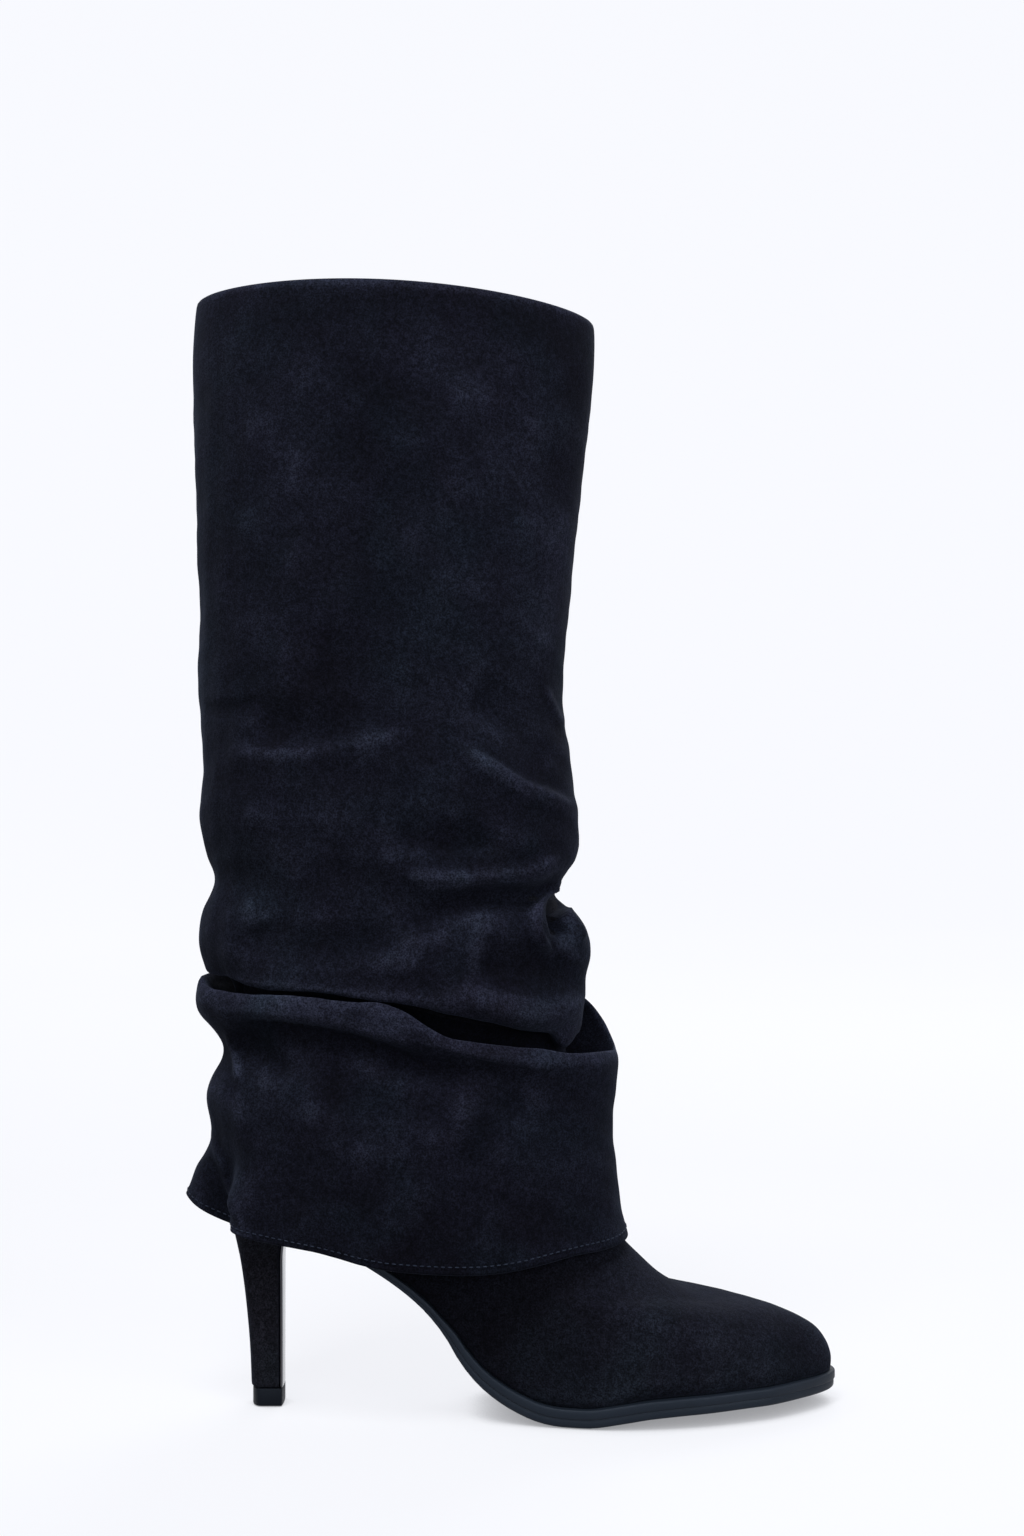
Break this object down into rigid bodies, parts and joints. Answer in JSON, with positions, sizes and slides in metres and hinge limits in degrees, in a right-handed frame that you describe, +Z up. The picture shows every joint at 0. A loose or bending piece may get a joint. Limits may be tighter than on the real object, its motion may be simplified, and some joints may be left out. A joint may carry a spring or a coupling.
{
  "type": "slouch boot",
  "caption": "High-heeled slouch boot: a hollow suede upper on a thin moulded sole and slim heel, with a wide shaft folded over at the top that gathers above the ankle.",
  "frame": {"origin": "middle of the floor area under the boot, on the floor", "axes": "+X to the toe, +Z up, -Y to the outer side of the foot"},
  "size_m": [0.2614, 0.0984, 0.4439],
  "materials": {
    "suede": "matte napped suede, black with a navy cast",
    "sole": "satin moulded edge, dark slate",
    "lift": "satin",
    "breast_cover": "smooth and glossy",
    "lining": "matte lining and sock"
  },
  "bodies": {
    "root": {"outsole": "sole", "heel": "suede", "heel_breast": "breast_cover", "top_lift": "lift", "insole": "lining", "upper": "suede", "foldover_shaft": "suede"}
  },
  "joints": []
}
